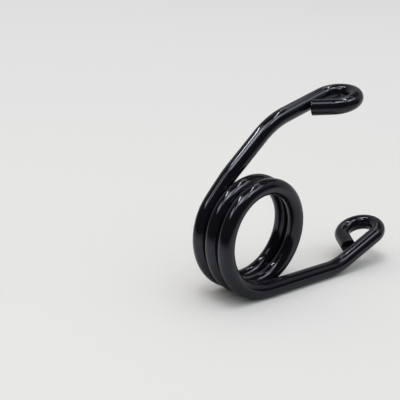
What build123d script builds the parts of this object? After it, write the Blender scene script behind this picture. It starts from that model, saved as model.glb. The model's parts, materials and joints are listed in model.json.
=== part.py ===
from build123d import *
import os
from math import asin, atan2, cos, degrees, hypot, radians, sin, tan

# A torsion spring bent from one round wire. A short coil carries two arms that open
# into a mouth. Each arm is bent towards the mouth and ends in a teardrop eye.
# The lower arm and the bottoms of the turns lie on the ground.
# Frame: the origin is the middle of the coil's bore, +Y is the coil's axis, +Z is up,
# and +X runs along the lower arm towards the mouth. Lengths in millimetres, angles in degrees.

# Wire
wire_diameter = 9.5
tip_chamfer = 0.4           # broken rims of the two cut ends

# Coil
coil_bore_diameter = 50.5
turn_gap = 0.8              # clear space between neighbouring turns
full_turns = 2
arm_opening = 48.0          # angle between the two arms where they leave the coil
coil_bends = 18             # equal round bends, joined tangent to tangent, that form the coil
lead_out_radius = 150.0     # slight bend that sets each arm square to the coil's axis

# Lower arm
lower_run = 51.0            # straight length before the bend
lower_bend_radius = 25.0
lower_bend_angle = 21.5
lower_end_run = 32.25       # straight length between the bend and the eye
lower_eye_lean = -3.5       # roll of the eye's plane about its arm

# Upper arm, with a slight bend just above the coil and its main bend halfway
upper_first_run = 8.5
upper_first_bend_radius = 40.0
upper_first_bend_angle = 6.5
upper_run = 27.5
upper_bend_radius = 50.0
upper_bend_angle = 25.5
upper_end_run = 31.75
upper_eye_lean = 0.0

# Eyes, formed alike at both ends of the wire
eye_bore_diameter = 13.5
eye_wrap = 237.0            # angle that the wire turns through round the eye's bore
eye_tip_gap = 0.15          # clear space between the wire's cut end and its own arm

# Sizes that follow from those above
wire_radius = wire_diameter / 2
coil_mean_radius = (coil_bore_diameter + wire_diameter) / 2
turn_pitch = wire_diameter + turn_gap
coil_wrap = 360 * full_turns + 180 - arm_opening
coil_advance = turn_pitch * coil_wrap / 360
eye_mean_radius = (eye_bore_diameter + wire_diameter) / 2

COIL_AXIS = Vector(0, 1, 0)
DOWN = Vector(0, 0, -1)
COIL_START = Vector(-1, 0, 0)   # way round the coil at its bottom, seen square to the axis
SEAM_SIDE = Vector(0, 0, 1)     # side of the lower cut end where the swept surface has its seam


def straight(start, direction, length):
    """A straight length of the wire's centreline."""
    return Line(start, start + direction * length)


def bend(start, direction, side, radius, angle):
    """A round bend of the wire's centreline, which turns its direction towards a side."""
    bend_plane = Plane(start, x_dir=direction, z_dir=direction.cross(side))
    return bend_plane * JernArc((0, 0), (1, 0), radius, angle)


def coil_bend_sizes():
    """Radius and angle of each of the coil's bends, and the slope of the wire where they join."""
    step = radians(coil_wrap / coil_bends)
    chord_round = 2 * coil_mean_radius * sin(step / 2)
    chord_along = coil_advance / coil_bends
    chord_slope = atan2(chord_along, chord_round)
    half_angle = atan2(cos(chord_slope) * tan(step / 2), 1)
    radius = hypot(chord_round, chord_along) / (2 * sin(half_angle))
    return radius, degrees(2 * half_angle), degrees(asin(cos(half_angle) * sin(chord_slope)))


def around_coil(vector, angle):
    """A vector carried round the coil's axis in the sense in which the wire is wound."""
    return vector.rotate(Axis((0, 0, 0), COIL_AXIS), angle)


def coil_centreline():
    """The coil's bends in order. They start at the bottom of the turn that the lower arm leaves."""
    step = coil_wrap / coil_bends
    radius, angle, slope = coil_bend_sizes()
    bends = []
    for number in range(coil_bends):
        turned = number * step
        height = COIL_AXIS * (coil_advance * (number / coil_bends - 0.5))
        start = around_coil(DOWN * coil_mean_radius, turned) + height
        direction = around_coil(COIL_START, turned) * cos(radians(slope)) + COIL_AXIS * sin(radians(slope))
        towards_axis = around_coil(DOWN * -1, turned + step / 2)
        bends.append(bend(start, direction, towards_axis, radius, angle))
    return bends


def eye_tail_length():
    """Length of the straight wire that closes an eye, up to the gap beside the arm."""
    wrap = radians(eye_wrap)
    round_end_offset = eye_mean_radius * (1 - cos(wrap))
    tip_rim_reach = (wire_radius - tip_chamfer) * abs(cos(wrap))
    travel = round_end_offset - tip_rim_reach - eye_tip_gap - wire_radius
    return travel / abs(sin(wrap))


def arm_centreline(start, direction, inward, runs_and_bends, end_run, eye_lean):
    """An arm's centreline from the coil to the cut end, as edges joined tangent to tangent.

    Inward is the direction along the coil's axis from this arm to the coil's middle.
    Each run is a straight length, and the bend after it turns the arm towards the mouth.
    """
    coil_slope = direction.get_angle(inward) - 90
    edges = [bend(start, direction, inward, lead_out_radius, coil_slope)]
    for run, bend_radius, bend_angle in runs_and_bends:
        edges.append(straight(edges[-1] @ 1, edges[-1] % 1, run))
        mouth_side = (edges[-1] % 1).cross(inward)
        edges.append(bend(edges[-1] @ 1, edges[-1] % 1, mouth_side, bend_radius, bend_angle))
    end = straight(edges[-1] @ 1, edges[-1] % 1, end_run)
    eye_side = inward.rotate(Axis((0, 0, 0), end % 1), eye_lean)
    eye = bend(end @ 1, end % 1, eye_side, eye_mean_radius, eye_wrap)
    tail = straight(eye @ 1, eye % 1, eye_tail_length())
    return edges + [end, eye, tail]


def wire_centreline():
    """The whole wire's centreline edges, in order from the lower cut end to the upper one."""
    coil = coil_centreline()
    lower_arm = arm_centreline(
        coil[0] @ 0, (coil[0] % 0) * -1, COIL_AXIS,
        [(lower_run, lower_bend_radius, lower_bend_angle)],
        lower_end_run, lower_eye_lean)
    upper_arm = arm_centreline(
        coil[-1] @ 1, coil[-1] % 1, COIL_AXIS * -1,
        [(upper_first_run, upper_first_bend_radius, upper_first_bend_angle),
         (upper_run, upper_bend_radius, upper_bend_angle)],
        upper_end_run, upper_eye_lean)
    return lower_arm[::-1] + coil + upper_arm


def spring_wire():
    """The spring: the round wire swept along its centreline, with its cut rims broken."""
    edges = wire_centreline()
    lower_tail = edges[0]
    section = Plane(lower_tail @ 1, x_dir=SEAM_SIDE, z_dir=(lower_tail % 1) * -1) * Circle(wire_radius)
    wire = sweep(section, path=Wire(edges))
    cut_ends = wire.faces().filter_by(GeomType.PLANE)
    return chamfer(cut_ends.edges(), tip_chamfer)


os.makedirs("parts", exist_ok=True)
export_step(spring_wire(), "parts/spring_wire.step")
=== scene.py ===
"""A hairpin torsion spring of gloss black wire, on white paper under soft boxes.

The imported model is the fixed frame. The spring's wire is built again here with a fine
surface, rounded cut ends and an easier bend in its lower arm, and takes the coating.
Lengths are in metres and angles in degrees. The origin is the middle of the coil's bore,
+Y is the coil's axis and +Z is up.
"""

from __future__ import annotations

import json
import logging
import math
from collections.abc import Callable
from dataclasses import dataclass
from enum import Enum

import bpy
from mathutils import Matrix, Quaternion, Vector

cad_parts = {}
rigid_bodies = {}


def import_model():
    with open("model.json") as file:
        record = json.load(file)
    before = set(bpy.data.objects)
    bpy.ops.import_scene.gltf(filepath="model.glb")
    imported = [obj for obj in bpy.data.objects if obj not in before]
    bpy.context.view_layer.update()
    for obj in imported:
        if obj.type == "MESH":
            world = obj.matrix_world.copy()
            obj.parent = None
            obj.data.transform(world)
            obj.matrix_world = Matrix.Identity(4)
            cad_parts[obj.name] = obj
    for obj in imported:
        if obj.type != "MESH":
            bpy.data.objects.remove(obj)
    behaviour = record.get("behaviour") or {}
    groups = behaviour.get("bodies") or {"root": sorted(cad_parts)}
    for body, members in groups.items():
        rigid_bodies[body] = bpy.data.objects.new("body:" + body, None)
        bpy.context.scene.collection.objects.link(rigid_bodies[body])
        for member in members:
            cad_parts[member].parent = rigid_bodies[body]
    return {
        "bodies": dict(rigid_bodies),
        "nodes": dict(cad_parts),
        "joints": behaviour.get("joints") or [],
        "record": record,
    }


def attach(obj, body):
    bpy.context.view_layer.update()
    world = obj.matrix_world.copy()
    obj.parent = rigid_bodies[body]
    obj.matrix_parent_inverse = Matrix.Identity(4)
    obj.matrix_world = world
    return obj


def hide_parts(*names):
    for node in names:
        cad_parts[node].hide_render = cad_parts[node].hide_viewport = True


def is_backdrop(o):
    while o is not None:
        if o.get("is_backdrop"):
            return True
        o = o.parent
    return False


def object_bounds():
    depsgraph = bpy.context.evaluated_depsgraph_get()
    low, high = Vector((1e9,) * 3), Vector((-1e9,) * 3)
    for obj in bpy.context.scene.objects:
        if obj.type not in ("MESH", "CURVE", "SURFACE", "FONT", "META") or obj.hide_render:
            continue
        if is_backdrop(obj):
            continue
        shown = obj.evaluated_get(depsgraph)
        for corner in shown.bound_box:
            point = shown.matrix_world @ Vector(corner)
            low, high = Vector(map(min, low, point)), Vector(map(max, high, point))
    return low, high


LOG = logging.getLogger("spring")
MILLIMETRE = 0.001
COIL_AXIS = Vector((0.0, 1.0, 0.0))
UP = Vector((0.0, 0.0, 1.0))
LIT_PLACE = Vector((0.02, 0.0, 0.01))
TONE = "tone"


class Body(Enum):
    """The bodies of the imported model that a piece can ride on."""

    SPRING = "root"


class Slot(Enum):
    """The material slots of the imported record."""

    COATING = "coating"


class Seen(Enum):
    """Where a piece of the studio shows: in the gloss alone, or on matt surfaces alone."""

    IN_GLOSS = "in gloss"
    ON_MATT = "on matt"


# ---------------------------------------------------------------- finishes


class NodeGraph:
    """A material's node tree, with short calls to add and join nodes."""

    def __init__(self, tree: bpy.types.NodeTree) -> None:
        """Start from an empty tree.

        Args:
            tree: The node tree to fill.
        """
        self.tree = tree
        self.tree.nodes.clear()

    def add(self, kind: str, **values: object) -> bpy.types.Node:
        """Add a node and set its properties and sockets.

        Args:
            kind: The node's type name in Blender.
            values: A socket's or property's value by name, with spaces as underscores.

        Returns:
            The new node.
        """
        node = self.tree.nodes.new(kind)
        for name, value in values.items():
            socket = node.inputs.get(name.replace("_", " "))
            if socket is not None:
                socket.default_value = value
            else:
                setattr(node, name, value)
        return node

    def join(
        self, source: bpy.types.Node, output: str | int, target: bpy.types.Node, name: str | int
    ) -> None:
        """Join an output of one node to an input of another.

        Args:
            source: The node that gives the value.
            output: The output's name or number.
            target: The node that takes it.
            name: The input's name or number.
        """
        self.tree.links.new(source.outputs[output], target.inputs[name])

    def sight_rays(self) -> bpy.types.Node:
        """Add nodes that tell the rays that show a surface from those that light others.

        Returns:
            The node whose first output is 1 for a camera, glossy or transmission ray.
        """
        ray = self.add("ShaderNodeLightPath")
        seen = self.add("ShaderNodeMath", operation="MAXIMUM")
        seen_through = self.add("ShaderNodeMath", operation="MAXIMUM")
        self.join(ray, "Is Camera Ray", seen, 0)
        self.join(ray, "Is Glossy Ray", seen, 1)
        self.join(seen, 0, seen_through, 0)
        self.join(ray, "Is Transmission Ray", seen_through, 1)
        return seen_through


def new_material(name: str) -> tuple[bpy.types.Material, NodeGraph]:
    """Start a material.

    Args:
        name: The material's name.

    Returns:
        The material and its empty node tree.
    """
    material = bpy.data.materials.new(name)
    material.use_nodes = True
    return material, NodeGraph(material.node_tree)


@dataclass(frozen=True)
class GlossCoat:
    """The gloss black coating: a smooth paint film with a faint orange peel."""

    name: str = "gloss_black_coating"
    colour: tuple[float, float, float, float] = (0.0052, 0.0053, 0.0072, 1.0)
    reflection_tint: tuple[float, float, float, float] = (0.82, 0.845, 1.0, 1.0)
    refraction: float = 1.55
    smooth_roughness: float = 0.045
    dull_roughness: float = 0.085
    patch_size: float = 9.0 * MILLIMETRE
    patch_detail: float = 3.0
    patch_low: float = 0.35
    patch_high: float = 0.7
    peel_size: float = 1.6 * MILLIMETRE
    peel_detail: float = 1.0
    peel_height: float = 0.0022 * MILLIMETRE
    speck_size: float = 0.45 * MILLIMETRE
    speck_height: float = 0.0006 * MILLIMETRE

    def make(self) -> bpy.types.Material:
        """Make the coating's material.

        Returns:
            The material, with roughness and relief from its nodes.
        """
        material, graph = new_material(self.name)
        place = graph.add("ShaderNodeTexCoord")
        patches = graph.add(
            "ShaderNodeTexNoise", Scale=1 / self.patch_size, Detail=self.patch_detail
        )
        dulling = graph.add(
            "ShaderNodeMapRange",
            From_Min=self.patch_low,
            From_Max=self.patch_high,
            To_Min=self.smooth_roughness,
            To_Max=self.dull_roughness,
        )
        peel = graph.add("ShaderNodeTexNoise", Scale=1 / self.peel_size, Detail=self.peel_detail)
        specks = graph.add("ShaderNodeTexNoise", Scale=1 / self.speck_size, Detail=0.0)
        peel_bump = graph.add("ShaderNodeBump", Strength=1.0, Distance=self.peel_height)
        speck_bump = graph.add("ShaderNodeBump", Strength=1.0, Distance=self.speck_height)
        film = graph.add("ShaderNodeBsdfPrincipled", Base_Color=self.colour, IOR=self.refraction)
        film.inputs["Specular Tint"].default_value = self.reflection_tint
        out = graph.add("ShaderNodeOutputMaterial")
        for texture in (patches, peel, specks):
            graph.join(place, "Object", texture, "Vector")
        graph.join(patches, "Fac", dulling, "Value")
        graph.join(dulling, "Result", film, "Roughness")
        graph.join(specks, "Fac", speck_bump, "Height")
        graph.join(peel, "Fac", peel_bump, "Height")
        graph.join(speck_bump, "Normal", peel_bump, "Normal")
        graph.join(peel_bump, "Normal", film, "Normal")
        graph.join(film, "BSDF", out, "Surface")
        return material


@dataclass(frozen=True)
class WhitePaper:
    """The floor's matt white paper, whose far part shows as one pale tone without an end."""

    name: str = "white_paper"
    colour: tuple[float, float, float, float] = (0.73, 0.73, 0.72, 1.0)
    roughness: float = 0.9
    gloss_level: float = 0.1
    near_tone: float = 0.775
    far_tone: float = 0.72
    fade_start: float = 0.24
    fade_end: float = 0.62
    tone_start: float = 0.4
    tone_end: float = 2.3
    grain_size: float = 0.8 * MILLIMETRE
    grain_detail: float = 2.0
    grain_strength: float = 0.3
    grain_height: float = 0.01 * MILLIMETRE

    def make(self) -> bpy.types.Material:
        """Make the paper's material.

        Returns:
            The material.
        """
        material, graph = new_material(self.name)
        place = graph.add("ShaderNodeTexCoord")
        grain = graph.add(
            "ShaderNodeTexNoise", Scale=1 / self.grain_size, Detail=self.grain_detail
        )
        bump = graph.add(
            "ShaderNodeBump", Strength=self.grain_strength, Distance=self.grain_height
        )
        paper = graph.add(
            "ShaderNodeBsdfPrincipled", Base_Color=self.colour, Roughness=self.roughness
        )
        paper.inputs["Specular IOR Level"].default_value = self.gloss_level
        distance = graph.add("ShaderNodeVectorMath", operation="LENGTH")
        fade = graph.add(
            "ShaderNodeMapRange",
            interpolation_type="SMOOTHSTEP",
            From_Min=self.fade_start,
            From_Max=self.fade_end,
        )
        tone = graph.add(
            "ShaderNodeMapRange",
            From_Min=self.tone_start,
            From_Max=self.tone_end,
            To_Min=self.near_tone,
            To_Max=self.far_tone,
        )
        seen = graph.sight_rays()
        pale = graph.add("ShaderNodeEmission")
        mix = graph.add("ShaderNodeMixShader")
        choose = graph.add("ShaderNodeMixShader")
        out = graph.add("ShaderNodeOutputMaterial")
        graph.join(place, "Object", grain, "Vector")
        graph.join(grain, "Fac", bump, "Height")
        graph.join(bump, "Normal", paper, "Normal")
        graph.join(place, "Object", distance, 0)
        graph.join(distance, "Value", fade, "Value")
        graph.join(distance, "Value", tone, "Value")
        graph.join(tone, "Result", pale, "Strength")
        graph.join(fade, "Result", mix, "Fac")
        graph.join(paper, "BSDF", mix, 1)
        graph.join(pale, "Emission", mix, 2)
        graph.join(seen, 0, choose, "Fac")
        graph.join(paper, "BSDF", choose, 1)
        graph.join(mix, "Shader", choose, 2)
        graph.join(choose, "Shader", out, "Surface")
        return material


@dataclass(frozen=True)
class RoomGlow:
    """The room round the floor, which shines at each point as brightly as stored there."""

    name: str = "room_glow"

    def make(self) -> bpy.types.Material:
        """Make the material.

        Returns:
            The material.
        """
        material, graph = new_material(self.name)
        stored = graph.add("ShaderNodeAttribute", attribute_name=TONE)
        glow = graph.add("ShaderNodeEmission")
        out = graph.add("ShaderNodeOutputMaterial")
        graph.join(stored, "Fac", glow, "Strength")
        graph.join(glow, "Emission", out, "Surface")
        material.cycles.emission_sampling = "NONE"
        return material


@dataclass(frozen=True)
class ShadeFilm:
    """A dark film of painted shade over the floor, as thick at each point as stored there."""

    name: str = "floor_shade"
    brightness: float = 0.03

    def make(self) -> bpy.types.Material:
        """Make the material.

        Returns:
            The material.
        """
        material, graph = new_material(self.name)
        stored = graph.add("ShaderNodeAttribute", attribute_name=TONE)
        clear = graph.add("ShaderNodeBsdfTransparent")
        # the dark emission is the painted shade that the floor's reflection shows
        dark = graph.add("ShaderNodeEmission", Strength=self.brightness)
        mix = graph.add("ShaderNodeMixShader")
        out = graph.add("ShaderNodeOutputMaterial")
        graph.join(stored, "Fac", mix, "Fac")
        graph.join(clear, "BSDF", mix, 1)
        graph.join(dark, "Emission", mix, 2)
        graph.join(mix, "Shader", out, "Surface")
        material.cycles.emission_sampling = "NONE"
        return material


# ---------------------------------------------------------------- the spring's wire


@dataclass
class Ring:
    """One section of the wire: its middle, the wire's direction and a side to count from."""

    middle: Vector
    along: Vector
    side: Vector
    radius: float


class WirePath:
    """The wire's centreline, laid from one cut end to the other, tangent to tangent."""

    def __init__(self, start: Vector, direction: Vector) -> None:
        """Start the path.

        Args:
            start: Where the path starts.
            direction: The way it first runs.
        """
        self.points = [start.copy()]
        self.directions = [direction.normalized()]

    @property
    def end(self) -> Vector:
        """The path's last point."""
        return self.points[-1]

    @property
    def direction(self) -> Vector:
        """The way the path runs at its last point."""
        return self.directions[-1]

    def straight(self, length: float, step: float = 2.5 * MILLIMETRE) -> None:
        """Add a straight length.

        Args:
            length: The length.
            step: The distance between sections.
        """
        start, direction = self.end.copy(), self.direction.copy()
        count = max(1, math.ceil(length / step))
        for number in range(1, count + 1):
            self.points.append(start + direction * (length * number / count))
            self.directions.append(direction.copy())

    def bend(self, side: Vector, radius: float, angle: float, step: float = 2.5) -> None:
        """Add a round bend, tangent to the path so far.

        Args:
            side: The way the path turns, taken square to its direction.
            radius: The bend's radius at the wire's middle.
            angle: The angle that the path turns through.
            step: The angle between sections.
        """
        direction = self.direction.copy()
        axis = direction.cross(side).normalized()
        centre = self.end + axis.cross(direction) * radius
        arm = self.end - centre
        count = max(1, math.ceil(angle / step))
        for number in range(1, count + 1):
            turn = Quaternion(axis, math.radians(angle * number / count))
            self.points.append(centre + turn @ arm)
            self.directions.append(turn @ direction)

    def reversed_onto(self, other: WirePath) -> WirePath:
        """This path run backwards, followed by another that starts where this one starts.

        Args:
            other: The path that carries on.

        Returns:
            The joined path.
        """
        joined = WirePath(self.end, -self.direction)
        joined.points = self.points[::-1] + other.points[1:]
        joined.directions = [-way for way in self.directions[::-1]] + other.directions[1:]
        return joined


@dataclass(frozen=True)
class WireStock:
    """The round wire that the spring is bent from."""

    diameter: float = 9.5 * MILLIMETRE
    coated_diameter: float = 9.48 * MILLIMETRE
    cut_chamfer: float = 0.4 * MILLIMETRE
    cut_edge_radius: float = 0.45 * MILLIMETRE

    @property
    def radius(self) -> float:
        """The wire's radius."""
        return self.diameter / 2

    @property
    def skin_radius(self) -> float:
        """The radius of the coating's surface, which stays just inside the solid's."""
        return self.coated_diameter / 2


@dataclass(frozen=True)
class Coil:
    """The turns between the two arms."""

    bore_diameter: float = 50.5 * MILLIMETRE
    turn_gap: float = 0.8 * MILLIMETRE
    full_turns: int = 2
    arm_opening: float = 48.0
    bends: int = 18

    @property
    def wrap(self) -> float:
        """The angle that the wire turns through round the coil's axis."""
        return 360.0 * self.full_turns + 180.0 - self.arm_opening

    def mean_radius(self, stock: WireStock) -> float:
        """The radius from the coil's axis to the wire's middle."""
        return (self.bore_diameter + stock.diameter) / 2

    def advance(self, stock: WireStock) -> float:
        """How far the wire moves along the coil's axis over the whole coil."""
        return (stock.diameter + self.turn_gap) * self.wrap / 360.0

    def bend_sizes(self, stock: WireStock) -> tuple[float, float, float]:
        """The radius and angle of each round bend, and the wire's slope where they join.

        Args:
            stock: The wire.

        Returns:
            The radius, the angle and the slope.
        """
        step = math.radians(self.wrap / self.bends)
        chord_round = 2 * self.mean_radius(stock) * math.sin(step / 2)
        chord_along = self.advance(stock) / self.bends
        slope = math.atan2(chord_along, chord_round)
        half = math.atan2(math.cos(slope) * math.tan(step / 2), 1.0)
        radius = math.hypot(chord_round, chord_along) / (2 * math.sin(half))
        joint_slope = math.asin(math.cos(half) * math.sin(slope))
        return radius, math.degrees(2 * half), math.degrees(joint_slope)

    def lay(self, stock: WireStock) -> WirePath:
        """Lay the coil's centreline, from the bottom of the lower arm's turn.

        Args:
            stock: The wire.

        Returns:
            The coil's path.
        """
        radius, angle, slope = self.bend_sizes(stock)
        tilt = math.radians(slope)
        start = -UP * self.mean_radius(stock) - COIL_AXIS * (self.advance(stock) / 2)
        first = Vector((-1.0, 0.0, 0.0)) * math.cos(tilt) + COIL_AXIS * math.sin(tilt)
        path = WirePath(start, first)
        step = self.wrap / self.bends
        for number in range(self.bends):
            middle = Quaternion(COIL_AXIS, math.radians((number + 0.5) * step))
            path.bend(middle @ UP, radius, angle)
        return path


@dataclass(frozen=True)
class Eye:
    """The teardrop eye at an arm's end."""

    bore_diameter: float = 13.5 * MILLIMETRE
    wrap: float = 237.0
    tip_gap: float = 0.15 * MILLIMETRE

    def mean_radius(self, stock: WireStock) -> float:
        """The radius from the bore's middle to the wire's middle."""
        return (self.bore_diameter + stock.diameter) / 2

    def tail_length(self, stock: WireStock) -> float:
        """The straight wire after the round, up to the gap beside the arm.

        Args:
            stock: The wire.

        Returns:
            The length.
        """
        wrap = math.radians(self.wrap)
        round_end_offset = self.mean_radius(stock) * (1 - math.cos(wrap))
        tip_rim_reach = (stock.radius - stock.cut_chamfer) * abs(math.cos(wrap))
        travel = round_end_offset - tip_rim_reach - self.tip_gap - stock.radius
        return travel / abs(math.sin(wrap))


@dataclass(frozen=True)
class ArmBend:
    """A straight run of an arm and the bend after it, which turns towards the mouth.

    The run and the radius are the solid's. A bend that shows a rounder form here takes the
    length for it from the straight wire on both of its sides.
    """

    run: float
    radius: float
    angle: float
    shown_radius: float | None = None

    @property
    def round_radius(self) -> float:
        """The radius that the bend has here."""
        return self.shown_radius or self.radius

    @property
    def taken(self) -> float:
        """The straight wire that the rounder form takes on each side."""
        return (self.round_radius - self.radius) * math.tan(math.radians(self.angle / 2))


@dataclass(frozen=True)
class Arm:
    """One arm, from where it leaves the coil to its cut end."""

    bends: tuple[ArmBend, ...]
    end_run: float
    eye_lean: float
    eye: Eye = Eye()
    lead_out_radius: float = 150.0 * MILLIMETRE
    bend_step: float = 1.0
    tail_step: float = 1.0 * MILLIMETRE

    def lay(self, start: Vector, direction: Vector, inward: Vector, stock: WireStock) -> WirePath:
        """Lay the arm's centreline outwards from the coil.

        Args:
            start: Where the arm leaves the coil.
            direction: The way the wire runs there.
            inward: The way along the coil's axis from this arm to the coil's middle.
            stock: The wire.

        Returns:
            The arm's path, with its eye.
        """
        path = WirePath(start, direction)
        lead_out = math.degrees(direction.angle(inward)) - 90.0
        path.bend(inward, self.lead_out_radius, lead_out, self.bend_step)
        taken = 0.0
        for bend in self.bends:
            path.straight(bend.run - taken - bend.taken)
            mouth_side = path.direction.cross(inward)
            path.bend(mouth_side, bend.round_radius, bend.angle, self.bend_step)
            taken = bend.taken
        path.straight(self.end_run - taken)
        lean = Quaternion(path.direction, math.radians(self.eye_lean))
        path.bend(lean @ inward, self.eye.mean_radius(stock), self.eye.wrap)
        path.straight(self.eye.tail_length(stock), self.tail_step)
        return path


@dataclass(frozen=True)
class SpringWire:
    """The whole spring: one wire with a coil, two arms and two eyes."""

    stock: WireStock = WireStock()
    coil: Coil = Coil()
    lower_arm: Arm = Arm(
        bends=(
            ArmBend(
                run=51.0 * MILLIMETRE,
                radius=25.0 * MILLIMETRE,
                angle=21.5,
                shown_radius=45.0 * MILLIMETRE,
            ),
        ),
        end_run=32.25 * MILLIMETRE,
        eye_lean=-3.5,
    )
    upper_arm: Arm = Arm(
        bends=(
            ArmBend(run=8.5 * MILLIMETRE, radius=40.0 * MILLIMETRE, angle=6.5),
            ArmBend(run=27.5 * MILLIMETRE, radius=50.0 * MILLIMETRE, angle=25.5),
        ),
        end_run=31.75 * MILLIMETRE,
        eye_lean=0.0,
    )
    coat: GlossCoat = GlossCoat()
    sides: int = 72
    edge_steps: int = 5
    face_rings: int = 4
    least_step: float = 0.01 * MILLIMETRE

    def lay(self) -> WirePath:
        """Lay the whole centreline, from the lower cut end to the upper one.

        Returns:
            The path.
        """
        coil = self.coil.lay(self.stock)
        lower = self.lower_arm.lay(coil.points[0], -coil.directions[0], COIL_AXIS, self.stock)
        upper = self.upper_arm.lay(coil.end, coil.direction, -COIL_AXIS, self.stock)
        whole = lower.reversed_onto(coil)
        whole.points += upper.points[1:]
        whole.directions += upper.directions[1:]
        return whole

    def end_rings(self, middle: Vector, outward: Vector, side: Vector) -> list[Ring]:
        """The sections that round a cut end over, from the wire's full size to the face.

        Args:
            middle: The middle of the cut face.
            outward: The way the face looks.
            side: The side to count from.

        Returns:
            The sections, from the outside of the wire inwards.
        """
        rings = []
        edge = self.stock.cut_edge_radius
        for number in range(self.edge_steps + 1):
            turn = math.radians(90.0 * number / self.edge_steps)
            depth = edge * (1 - math.sin(turn))
            radius = self.stock.skin_radius - edge * (1 - math.cos(turn))
            rings.append(Ring(middle - outward * depth, outward, side, radius))
        flat = self.stock.skin_radius - edge
        for number in range(1, self.face_rings):
            rings.append(Ring(middle, outward, side, flat * (1 - number / self.face_rings)))
        return rings

    def rings(self) -> list[Ring]:
        """The wire's sections in order, with the cut ends rounded over.

        Returns:
            The sections, each turned as little as possible from the last.
        """
        path = self.lay()
        side = path.directions[0].cross(UP).normalized()
        body = []
        for middle, along in zip(path.points, path.directions):
            if body:
                side = body[-1].along.rotation_difference(along) @ body[-1].side
            side = (side - along * side.dot(along)).normalized()
            body.append(Ring(middle, along, side, self.stock.skin_radius))
        first, last = body[0], body[-1]
        start = self.end_rings(first.middle, -first.along, first.side)[::-1]
        end = self.end_rings(last.middle, last.along, last.side)
        for ring in start:
            ring.along = first.along  # so that every section counts the same way round
        past_edge = self.stock.cut_edge_radius + self.least_step
        between = [
            ring
            for ring in body
            if (ring.middle - first.middle).length > past_edge
            and (ring.middle - last.middle).length > past_edge
        ]
        return start + between + end

    def mesh(self, name: str) -> bpy.types.Mesh:
        """Build the wire's closed mesh.

        Args:
            name: The mesh's name.

        Returns:
            The mesh.
        """
        rings = self.rings()
        vertices = [rings[0].middle]
        for ring in rings:
            across = ring.along.cross(ring.side)
            for number in range(self.sides):
                turn = math.tau * number / self.sides
                reach = ring.side * math.cos(turn) + across * math.sin(turn)
                vertices.append(ring.middle + reach * ring.radius)
        vertices.append(rings[-1].middle)
        faces = []
        last = len(rings) - 1
        for number in range(self.sides):
            after = (number + 1) % self.sides
            faces.append((0, 1 + after, 1 + number))
            for row in range(last):
                near, far = 1 + row * self.sides, 1 + (row + 1) * self.sides
                faces.append((near + number, near + after, far + after, far + number))
            near = 1 + last * self.sides
            faces.append((near + number, near + after, len(vertices) - 1))
        mesh = bpy.data.meshes.new(name)
        mesh.from_pydata([tuple(vertex) for vertex in vertices], [], faces)
        mesh.update()
        mesh.polygons.foreach_set("use_smooth", [True] * len(mesh.polygons))
        return mesh

    def build(self, frame: dict) -> bpy.types.Object:
        """Build and dress the wire, and stand it in for its solid.

        Args:
            frame: The loaded frame.

        Returns:
            The wire's object.
        """
        coating = self.coat.make()
        mesh = self.mesh("coated_wire")
        mesh.materials.append(coating)
        wire = bpy.data.objects.new("coated_wire", mesh)
        bpy.context.scene.collection.objects.link(wire)
        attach(wire, Body.SPRING.value)
        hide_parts("spring_wire")
        solid = frame["nodes"]["spring_wire"]
        solid.data.materials.clear()
        solid.data.materials.append(coating)
        return wire


# ---------------------------------------------------------------- the studio


def show_to(piece: bpy.types.Object, seen: Seen) -> None:
    """Keep a piece of the studio out of the picture, and limit which rays it reaches.

    Args:
        piece: The piece.
        seen: Where it shows.
    """
    piece.visible_camera = False
    piece.visible_diffuse = seen is Seen.ON_MATT
    piece.visible_glossy = seen is Seen.IN_GLOSS
    if piece.type == "MESH":
        piece.visible_shadow = False


def ease(value: float, low: float, high: float) -> float:
    """A smooth step from 0 at the low value to 1 at the high one."""
    part = min(max((value - low) / (high - low), 0.0), 1.0)
    return part * part * (3.0 - 2.0 * part)


@dataclass(frozen=True)
class Arc:
    """A part of the full circle, as compass directions with 0 along +Y and 90 along +X."""

    start: float = 0.0
    stop: float = 360.0

    def share(self, compass: float, soft: float) -> float:
        """How far a direction lies inside the arc, from 0 to 1.

        Args:
            compass: The direction.
            soft: The width of the arc's soft ends.

        Returns:
            The share.
        """
        half = (self.stop - self.start) / 2
        off = abs((compass - self.start - half + 180.0) % 360.0 - 180.0)
        return 1.0 - ease(off, half - soft / 2, half + soft / 2)


def band(
    name: str, reaches: tuple[float, ...], heights: list[float], steps: int
) -> bpy.types.Object:
    """Build a surface that an outline sweeps out round the vertical axis.

    Args:
        name: The object's name.
        reaches: The outline's distances from the axis.
        heights: The outline's heights.
        steps: The number of steps round the axis.

    Returns:
        The surface's object.
    """
    vertices, faces = [], []
    width = len(reaches)
    for number in range(steps):
        turn = math.tau * number / steps
        for reach, height in zip(reaches, heights):
            vertices.append((reach * math.sin(turn), reach * math.cos(turn), height))
    for number in range(steps):
        after = (number + 1) % steps
        for row in range(width - 1):
            here, beside = number * width + row, after * width + row
            faces.append((here, here + 1, beside + 1, beside))
    mesh = bpy.data.meshes.new(name)
    mesh.from_pydata(vertices, [], faces)
    mesh.update()
    mesh.polygons.foreach_set("use_smooth", [True] * len(mesh.polygons))
    piece = bpy.data.objects.new(name, mesh)
    bpy.context.scene.collection.objects.link(piece)
    return piece


def store_tone(piece: bpy.types.Object, tone_at: Callable[[Vector], float]) -> None:
    """Store a tone at each of a surface's points.

    Args:
        piece: The surface.
        tone_at: Gives the tone at a place.
    """
    stored = piece.data.attributes.new(TONE, "FLOAT", "POINT")
    stored.data.foreach_set("value", [tone_at(vertex.co) for vertex in piece.data.vertices])


def compass_of(place: Vector) -> float:
    """The compass direction of a place, seen from the coil's middle."""
    return math.degrees(math.atan2(place.x, place.y))


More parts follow.
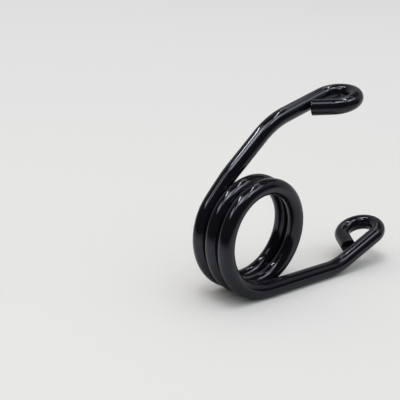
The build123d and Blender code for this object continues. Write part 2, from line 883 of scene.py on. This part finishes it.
@dataclass(frozen=True)
class PaperFloor:
    """The round white floor, which fades out towards its rim."""

    height: float
    paper: WhitePaper = WhitePaper()
    rings: tuple[float, ...] = (0.02, 0.08, 0.2, 0.4, 0.7, 1.1, 1.6, 2.3, 3.2, 4.5)
    sides: int = 96

    def build(self) -> bpy.types.Object:
        """Build the floor.

        Returns:
            The floor's object.
        """
        floor = band("paper_floor", self.rings, [self.height] * len(self.rings), self.sides)
        floor.data.materials.append(self.paper.make())
        floor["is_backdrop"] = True
        middle = band("paper_floor_middle", (0.0, self.rings[0]), [self.height] * 2, self.sides)
        middle.data.materials.append(floor.data.materials[0])
        middle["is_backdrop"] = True
        return floor


@dataclass(frozen=True)
class Zone:
    """A part of the room that shows one more brightness in the gloss. Angles in degrees."""

    name: str
    arc: Arc
    low: float
    high: float
    brightness: float
    soft_ends: float = 8.0
    soft_edges: float = 4.0

    def glow(self, compass: float, lift: float) -> float:
        """The brightness that the zone adds.

        Args:
            compass: The compass direction.
            lift: The angle above the horizon.

        Returns:
            The brightness.
        """
        half = self.soft_edges / 2
        inside = ease(lift, self.low - half, self.low + half)
        inside *= 1.0 - ease(lift, self.high - half, self.high + half)
        return self.brightness * inside * self.arc.share(compass, self.soft_ends)


@dataclass(frozen=True)
class Room:
    """The dark room round the floor, with its pale walls. Only reflections see it."""

    radius: float = 9.0
    lowest: int = -12
    lift_step: int = 2
    sides: int = 180
    darkness: float = 0.025
    finish: RoomGlow = RoomGlow()
    zones: tuple[Zone, ...] = (
        Zone("grey_wall", Arc(-17.0, 122.0), -4.0, 40.0, 0.28, 10.0, 5.0),
        Zone("wall_top", Arc(-19.0, 50.0), 40.0, 47.0, 0.26, 14.0, 5.0),
        Zone("wall_foot", Arc(-6.0, 122.0), -8.0, 7.0, 0.16, 10.0, 9.0),
        Zone("side_screen", Arc(100.0, 152.0), 37.0, 46.0, 0.28, 10.0, 6.0),
        Zone("side_screen_foot", Arc(122.0, 142.0), 24.0, 37.0, 0.26, 10.0, 6.0),
        Zone("ceiling_light", Arc(10.0, 45.0), 46.0, 60.0, 0.2, 16.0, 8.0),
        Zone("side_ceiling", Arc(60.0, 150.0), 46.0, 72.0, 0.05, 16.0, 8.0),
    )

    def tone_at(self, place: Vector) -> float:
        """The room's brightness at a place."""
        lift = math.degrees(math.asin(place.z / self.radius))
        return self.darkness + sum(zone.glow(compass_of(place), lift) for zone in self.zones)

    def build(self) -> bpy.types.Object:
        """Build the room.

        Returns:
            The room's object.
        """
        lifts = [math.radians(lift) for lift in range(self.lowest, 90, self.lift_step)]
        reaches = tuple(self.radius * math.cos(lift) for lift in lifts)
        heights = [self.radius * math.sin(lift) for lift in lifts]
        room = band("dark_room", reaches, heights, self.sides)
        store_tone(room, self.tone_at)
        room.data.materials.append(self.finish.make())
        show_to(room, Seen.IN_GLOSS)
        room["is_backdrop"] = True
        return room


@dataclass(frozen=True)
class FloorShade:
    """Painted shade over the floor, seen only in the gloss: the floor's reflection darkened all
    over, a painted shadow round the coil and the lower arm, and the dark room beyond the floor's
    near part.
    """

    floor_height: float
    film: ShadeFilm = ShadeFilm()
    lift: float = 0.4 * MILLIMETRE
    # painted shade: the floor's reflection darkened all over, less on the pale near side
    near_shade: float = 0.22
    pale_near_shade: float = 0.02
    pale_near: Arc = Arc(-112.0, -22.0)
    pale_near_soft_ends: float = 24.0
    pale_near_start: float = 0.03
    pale_near_full: float = 0.07
    # painted shadow of the spring in the floor's reflection, thickest round the coil and the lower
    # arm
    painted_shadow: float = 0.45
    painted_shadow_line_end: float = 0.12
    painted_shadow_near: float = 0.012
    painted_shadow_far: float = 0.065
    clear_to: float = 0.13
    fade_length: float = 0.165
    pale_side: Arc = Arc(100.0, 190.0)
    pale_side_soft_ends: float = 30.0
    pale_side_fade_length: float = 0.75
    wall_side: Arc = Arc(-25.0, 118.0)
    wall_side_soft_ends: float = 14.0
    wall_side_fade_length: float = 8.0
    inner_radius: float = 0.01
    outer_radius: float = 4.4
    rings: int = 40
    sides: int = 120

    def tone_at(self, place: Vector) -> float:
        """The film's thickness at a place, from 0 where it is clear to 1.

        Args:
            place: A point of the film.

        Returns:
            The thickness.
        """
        compass = compass_of(place)
        distance = math.hypot(place.x, place.y)
        rate = 1.0 / self.fade_length
        pale = self.pale_side.share(compass, self.pale_side_soft_ends)
        rate += (1.0 / self.pale_side_fade_length - rate) * pale
        wall = self.wall_side.share(compass, self.wall_side_soft_ends)
        rate += (1.0 / self.wall_side_fade_length - rate) * wall
        near = self.pale_near.share(compass, self.pale_near_soft_ends)
        near *= ease(distance, self.pale_near_start, self.pale_near_full)
        # painted shade over the floor's reflection, lighter on the pale near side
        shade = self.near_shade + (self.pale_near_shade - self.near_shade) * near
        # painted shadow of the spring in the floor's reflection, along the coil and the lower arm
        along = min(max(place.x, 0.0), self.painted_shadow_line_end)
        aside = math.hypot(place.x - along, place.y)
        under = self.painted_shadow * (1.0 - ease(aside, self.painted_shadow_near, self.painted_shadow_far))
        clear = (1.0 - shade) * (1.0 - under)
        # beyond clear_to the painted shade thickens with distance, standing in for the dark room
        return 1.0 - clear * math.exp(-max(0.0, distance - self.clear_to) * rate)

    def build(self) -> bpy.types.Object:
        """Build the shade.

        Returns:
            The shade's object.
        """
        growth = self.outer_radius / self.inner_radius
        reaches = tuple(
            self.inner_radius * growth ** (number / self.rings) for number in range(self.rings + 1)
        )
        heights = [self.floor_height + self.lift] * len(reaches)
        shade = band("floor_shade", reaches, heights, self.sides)
        store_tone(shade, self.tone_at)
        shade.data.materials.append(self.film.make())
        show_to(shade, Seen.IN_GLOSS)
        shade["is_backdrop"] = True
        return shade


@dataclass(frozen=True)
class SoftBox:
    """A soft box or tube that looks at the spring.

    Its place is given as seen from the spring: degrees from straight overhead towards +X
    and towards +Y. Its long side is turned from +Y towards +X. Its sizes are the angles
    that it fills.
    """

    name: str
    towards_x: float
    towards_y: float
    turned: float
    length_angle: float
    width_angle: float
    brightness: float
    tint: tuple[float, float, float] = (1.0, 1.0, 1.0)
    seen: Seen = Seen.IN_GLOSS
    distance: float = 6.0

    def side(self, angle: float) -> float:
        """The length of a side that fills an angle."""
        return 2 * self.distance * math.tan(math.radians(angle / 2))

    def build(self, target: Vector) -> bpy.types.Object:
        """Hang the soft box.

        Args:
            target: The point that it looks at.

        Returns:
            The lamp's object.
        """
        lean = math.radians(math.hypot(self.towards_x, self.towards_y))
        compass = math.atan2(self.towards_x, self.towards_y)
        outward = Vector((math.sin(compass), math.cos(compass), 0.0))
        round_about = Vector((math.cos(compass), -math.sin(compass), 0.0))
        back = outward * math.sin(lean) + UP * math.cos(lean)
        down = outward * math.cos(lean) - UP * math.sin(lean)
        turn = math.radians(self.turned) - compass
        squeeze = math.sin(lean) / lean if lean else 1.0
        length = (down * math.cos(turn) + round_about * (math.sin(turn) * squeeze)).normalized()
        lamp = bpy.data.lights.new(self.name, "AREA")
        lamp.shape = "RECTANGLE"
        lamp.size = self.side(self.width_angle)
        lamp.size_y = self.side(self.length_angle)
        lamp.energy = self.brightness * math.pi * lamp.size * lamp.size_y
        lamp.color = self.tint
        place = Matrix((length.cross(back), length, back)).transposed().to_4x4()
        place.translation = target + back * self.distance
        box = bpy.data.objects.new(self.name, lamp)
        box.matrix_world = place
        bpy.context.scene.collection.objects.link(box)
        show_to(box, self.seen)
        return box


@dataclass(frozen=True)
class Lighting:
    """The soft boxes and tubes, and the pale world.

    The first lamps show in the gloss. The last ones light the paper.
    """

    target: Vector
    world_colour: tuple[float, float, float, float] = (0.72, 0.72, 0.72, 1.0)
    fill_colour: tuple[float, float, float, float] = (1.0, 1.0, 1.0, 1.0)
    fill_at_horizon: float = 0.05
    fill_overhead: float = 1.12
    boxes: tuple[SoftBox, ...] = (
        SoftBox("window", -42.5, 10.5, 28.5, 24.0, 14.5, 3.6),
        SoftBox("far_tube", -13.5, 29.5, 33.5, 24.0, 1.5, 37.0),
        SoftBox("left_box", -24.0, 7.0, 35.5, 42.0, 10.0, 2.4),
        SoftBox("middle_box", -14.0, -10.5, 44.5, 25.5, 21.0, 2.95),
        SoftBox("middle_core", -18.0, -8.0, 45.0, 13.0, 12.0, 4.6),
        SoftBox("near_tube", 10.0, 3.5, 22.0, 26.0, 1.5, 21.0),
        SoftBox("near_glow", 10.0, 3.5, 22.0, 30.0, 7.0, 1.1),
        SoftBox("far_glow", 22.0, 22.0, 28.0, 27.0, 8.5, 1.25),
        SoftBox("front_box", 1.0, -25.0, 39.0, 24.0, 24.5, 1.65),
        SoftBox("right_box", 18.5, -28.5, 52.0, 32.5, 14.5, 2.25),
        SoftBox("right_edge", 16.0, -31.0, 110.0, 30.5, 12.0, 0.92),
        SoftBox("right_core", 10.5, -27.0, 10.0, 17.0, 8.0, 1.2),
        SoftBox("right_tube", 25.0, 6.0, 0.0, 24.0, 4.5, 0.8),
        SoftBox("overhead_key", -13.0, -2.5, 0.0, 14.0, 14.0, 9.4, seen=Seen.ON_MATT),
        SoftBox("overhead_fill", -12.0, -3.0, 0.0, 45.0, 45.0, 0.46, seen=Seen.ON_MATT),
        SoftBox("side_fill", -35.0, -8.0, 90.0, 35.0, 35.0, 0.75, seen=Seen.ON_MATT),
        SoftBox("warm_fill", 0.0, 45.0, 0.0, 45.0, 45.0, 0.15, (1.0, 0.4, 0.02), Seen.ON_MATT),
        SoftBox("cool_fill", 0.0, -45.0, 0.0, 45.0, 45.0, 0.15, (0.02, 0.5, 1.0), Seen.ON_MATT),
    )

    def build_world(self) -> None:
        """Give the world the floor's colour, and a soft sky light that fills the shadows."""
        world = bpy.data.worlds.new("pale_world")
        world.use_nodes = True
        graph = NodeGraph(world.node_tree)
        seen = graph.sight_rays()
        place = graph.add("ShaderNodeTexCoord")
        axes = graph.add("ShaderNodeSeparateXYZ")
        sky = graph.add(
            "ShaderNodeMapRange", To_Min=self.fill_at_horizon, To_Max=self.fill_overhead
        )
        fill = graph.add("ShaderNodeBackground", Color=self.fill_colour)
        pale = graph.add("ShaderNodeBackground", Color=self.world_colour, Strength=1.0)
        choose = graph.add("ShaderNodeMixShader")
        out = graph.add("ShaderNodeOutputWorld")
        graph.join(place, "Generated", axes, "Vector")
        graph.join(axes, "Z", sky, "Value")
        graph.join(sky, "Result", fill, "Strength")
        graph.join(seen, 0, choose, "Fac")
        graph.join(fill, "Background", choose, 1)
        graph.join(pale, "Background", choose, 2)
        graph.join(choose, "Shader", out, "Surface")
        bpy.context.scene.world = world

    def build(self) -> list[bpy.types.Object]:
        """Build the lights.

        Returns:
            The lamps.
        """
        self.build_world()
        return [box.build(self.target) for box in self.boxes]


@dataclass(frozen=True)
class Viewpoint:
    """The camera: where it stands, which way it looks and its lens."""

    place: tuple[float, float, float] = (-0.331224, -0.319610, 0.163143)
    compass: float = -42.104
    look_down: float = 17.463
    roll: float = 3.272
    focal_length: float = 76.674
    sensor_width: float = 36.0

    def build(self) -> bpy.types.Object:
        """Set the camera up.

        Returns:
            The camera's object.
        """
        lens = bpy.data.cameras.new("camera")
        lens.lens = self.focal_length
        lens.sensor_width = self.sensor_width
        lens.sensor_fit = "HORIZONTAL"
        angles = (self.compass, self.look_down, self.roll)
        compass, down, roll = (math.radians(angle) for angle in angles)
        back = Vector(
            (
                math.sin(compass) * math.cos(down),
                -math.cos(compass) * math.cos(down),
                math.sin(down),
            )
        )
        level = Vector((math.cos(compass), math.sin(compass), 0.0))
        up = back.cross(level)
        right = level * math.cos(roll) + up * math.sin(roll)
        place = Matrix((right, back.cross(right), back)).transposed().to_4x4()
        place.translation = Vector(self.place)
        camera = bpy.data.objects.new("camera", lens)
        camera.matrix_world = place
        bpy.context.scene.collection.objects.link(camera)
        bpy.context.scene.camera = camera
        return camera


def main() -> None:
    """Build the spring, the floor, the room, the lights and the camera, in that order."""
    logging.basicConfig(level=logging.INFO, format="%(message)s")
    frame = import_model()
    solid_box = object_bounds()
    floor_height = solid_box[0][2]
    wire = SpringWire().build(frame)
    LOG.info("%s: %d faces", wire.name, len(wire.data.polygons))
    LOG.info("stage: %s", PaperFloor(floor_height).build().name)
    for piece in (Room().build(), FloorShade(floor_height).build()):
        LOG.info("stage: %s", piece.name)
    for lamp in Lighting(LIT_PLACE).build():
        LOG.info("lamp: %s", lamp.name)
    Viewpoint().build()
    scene = bpy.context.scene
    scene.view_settings.view_transform = "Standard"


if __name__ == "__main__":
    main()
